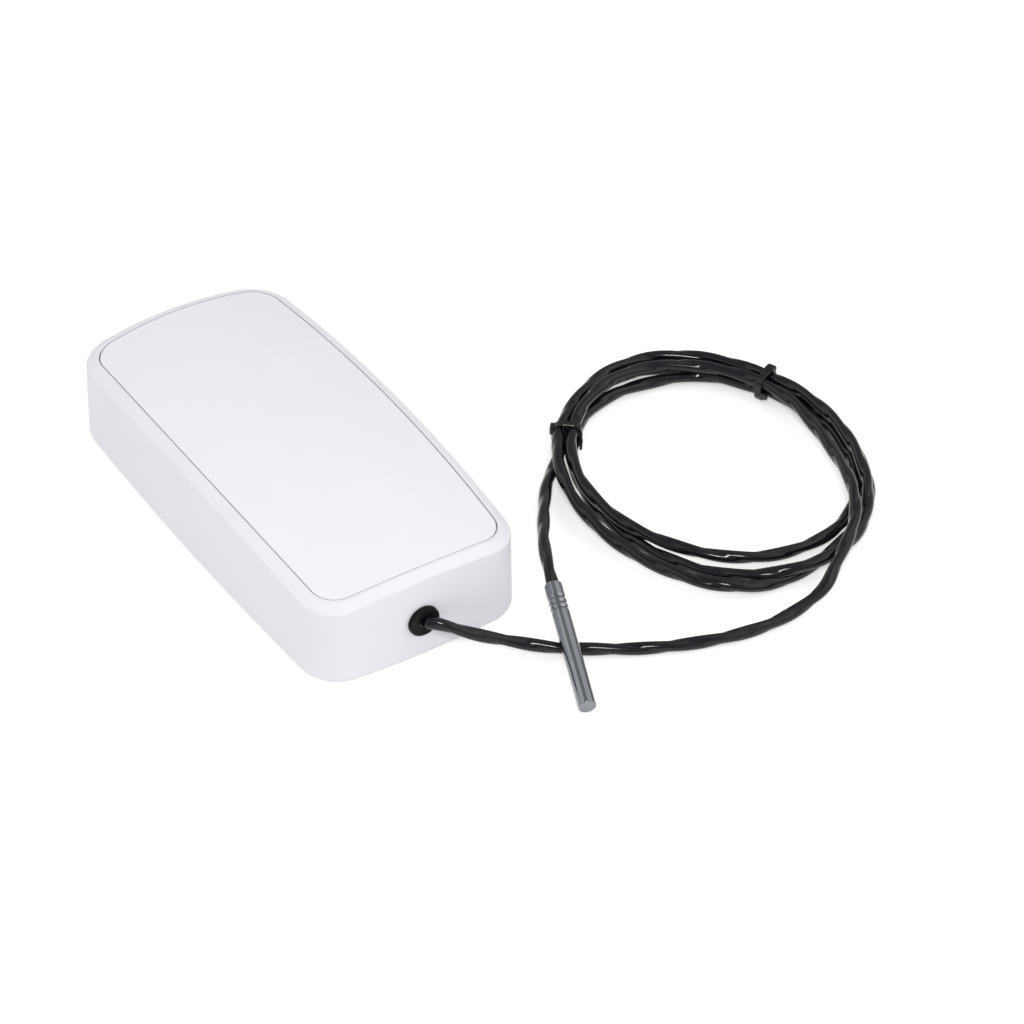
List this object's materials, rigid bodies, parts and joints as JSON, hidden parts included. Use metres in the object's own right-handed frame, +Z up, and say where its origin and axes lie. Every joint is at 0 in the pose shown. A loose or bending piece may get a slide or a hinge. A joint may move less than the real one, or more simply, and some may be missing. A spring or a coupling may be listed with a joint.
{
  "type": "temperature data logger",
  "caption": "White plastic case with a crowned recessed panel, and a coiled black cable that ends in a stainless steel temperature probe.",
  "frame": {"origin": "middle of the case's underside, on the surface the case and the cable rest on", "axes": "+Z up out of the case's top panel; +Y along the case, away from the end wall the cable leaves by; +X across the case, towards the coiled cable"},
  "size_m": [0.2203, 0.2206, 0.0393],
  "materials": {
    "case_plastic": "white fine-textured plastic, satin",
    "panel_plastic": "white fine-textured plastic, satin",
    "seal_foam": "black closed-cell foam",
    "screw_steel": "bright zinc-plated steel",
    "insert_brass": "turned brass",
    "board_green": "green solder mask",
    "chip_black": "black moulded epoxy",
    "crystal_steel": "pressed steel can",
    "shield_steel": "tinned steel",
    "antenna_copper": "bare copper wire",
    "capacitor_sleeve": "dark blue sleeve",
    "holder_plastic": "black moulded plastic",
    "cell_jacket": "plain printed film jacket with bare steel ends",
    "contact_steel": "nickel-plated spring steel",
    "connector_white": "natural white nylon",
    "wire_insulation": "coloured vinyl insulation",
    "cable_black": "black satin jacket",
    "tie_black": "black nylon",
    "grommet_rubber": "black moulded rubber",
    "probe_steel": "polished stainless steel",
    "element_epoxy": "black epoxy bead",
    "lead_insulation": "clear fluoropolymer over tinned wire",
    "potting_resin": "dark filled resin"
  },
  "bodies": {
    "root": {"upper_shell": "case_plastic", "top_panel": "panel_plastic", "base_plate": "case_plastic", "base_seal": "seal_foam", "case_screws": "screw_steel", "threaded_inserts": "insert_brass", "circuit_board": "board_green", "board_screws": "screw_steel", "microcontroller": "chip_black", "memory_chip": "chip_black", "clock_crystal": "crystal_steel", "radio_board": "board_green", "radio_shield": "shield_steel", "antenna": "antenna_copper", "supply_capacitors": "capacitor_sleeve", "battery_holder": "holder_plastic", "battery_cell_1": "cell_jacket", "battery_cell_2": "cell_jacket", "contact_negative": "contact_steel", "contact_positive": "contact_steel", "contact_bridge": "contact_steel", "sensor_socket": "connector_white", "sensor_plug": "connector_white", "plug_wires": "wire_insulation", "inner_cable": "cable_black", "inner_tie": "tie_black", "cable_grommet": "grommet_rubber", "cable_coil": "cable_black", "coil_tie_right": "tie_black", "coil_tie_left": "tie_black", "cable_lead": "cable_black", "cable_tail": "cable_black", "probe_tube": "probe_steel", "sensor_element": "element_epoxy", "sensor_leads": "lead_insulation", "probe_potting": "potting_resin"}
  },
  "joints": []
}
